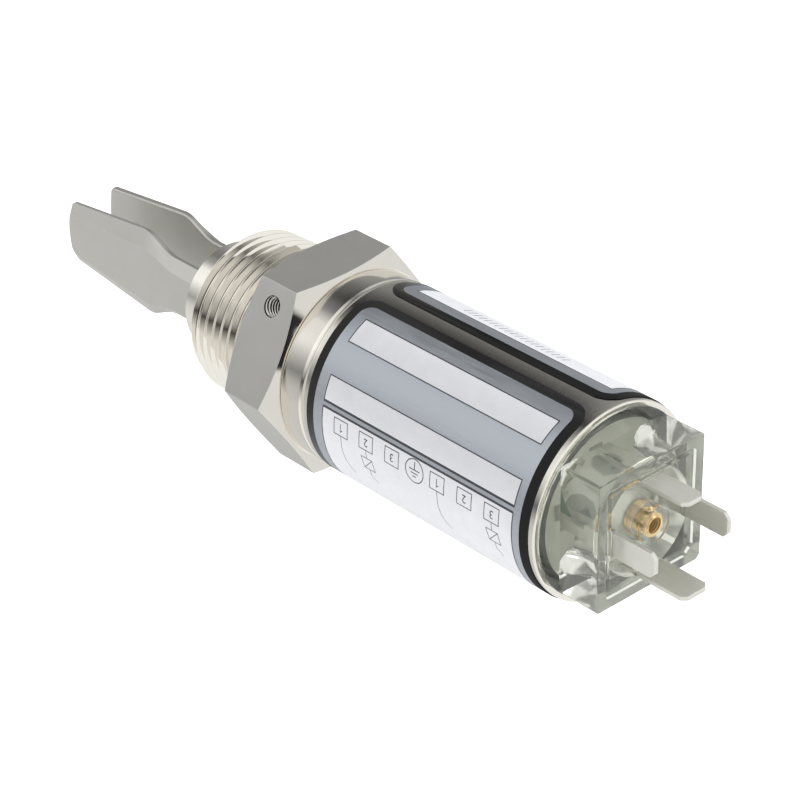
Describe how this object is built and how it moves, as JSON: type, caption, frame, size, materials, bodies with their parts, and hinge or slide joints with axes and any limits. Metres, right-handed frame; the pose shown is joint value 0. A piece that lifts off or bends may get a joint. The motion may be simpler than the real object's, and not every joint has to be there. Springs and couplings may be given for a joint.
{
  "type": "tuning fork level switch",
  "caption": "Vibrating fork level switch: bevelled two-tine fork, taper thread with hexagon, slim steel tube with wrap label, and a clear square valve-type plug with flat blades.",
  "frame": {"origin": "on the axis, on the face of the hexagon that faces the vessel", "axes": "+Z along the tube towards the plug's blades, so the fork points down; the tines stand apart along X; +Y is opposite the wide earth blade"},
  "size_m": [0.046, 0.0412, 0.1705],
  "materials": {
    "turned_stainless": "turned bright",
    "blasted_stainless": "bead blasted",
    "insulator_ceramic": "ground",
    "electrode_brass": "plain",
    "piezo_ceramic": "silvered faces",
    "plain_steel": "plain",
    "polished_tube": "polished",
    "label_film": "silver and white printed film",
    "clear_plastic": "clear, faintly green",
    "insert_brass": "turned",
    "tinned_contact": "tin plated",
    "seal_rubber": "plain",
    "carrier_plastic": "moulded",
    "sleeve_film": "rolled film",
    "circuit_board": "green solder mask",
    "black_plastic": "moulded",
    "capacitor_can": "sleeved",
    "reed_glass": "clear",
    "lamp_lens": "clear red",
    "lead_sleeving": "plain",
    "earth_sleeving": "plain"
  },
  "bodies": {
    "root": {"process_body": "turned_stainless", "fork": "blasted_stainless", "front_insulator": "insulator_ceramic", "drive_electrode": "electrode_brass", "drive_piezo": "piezo_ceramic", "common_electrode": "electrode_brass", "sense_piezo": "piezo_ceramic", "sense_electrode": "electrode_brass", "rear_insulator": "insulator_ceramic", "pressure_washer": "plain_steel", "spring_washer": "plain_steel", "clamp_nut": "plain_steel", "housing_tube": "polished_tube", "wrap_label": "label_film", "plug_housing": "clear_plastic", "thread_insert": "insert_brass", "contact_1": "tinned_contact", "contact_2": "tinned_contact", "contact_3": "tinned_contact", "contact_earth": "tinned_contact", "body_seal": "seal_rubber", "plug_seal": "seal_rubber", "board_carrier": "carrier_plastic", "insulating_sleeve": "sleeve_film", "plug_board": "circuit_board", "main_board": "circuit_board", "pin_header": "black_plastic", "capacitor": "capacitor_can", "power_transistors": "black_plastic", "controller_chip": "black_plastic", "test_reed_switch": "reed_glass", "indicator_lamp": "lamp_lens", "sensor_leads": "lead_sleeving", "earth_screw": "plain_steel", "earth_tag": "tinned_contact", "earth_wire": "earth_sleeving"}
  },
  "joints": []
}
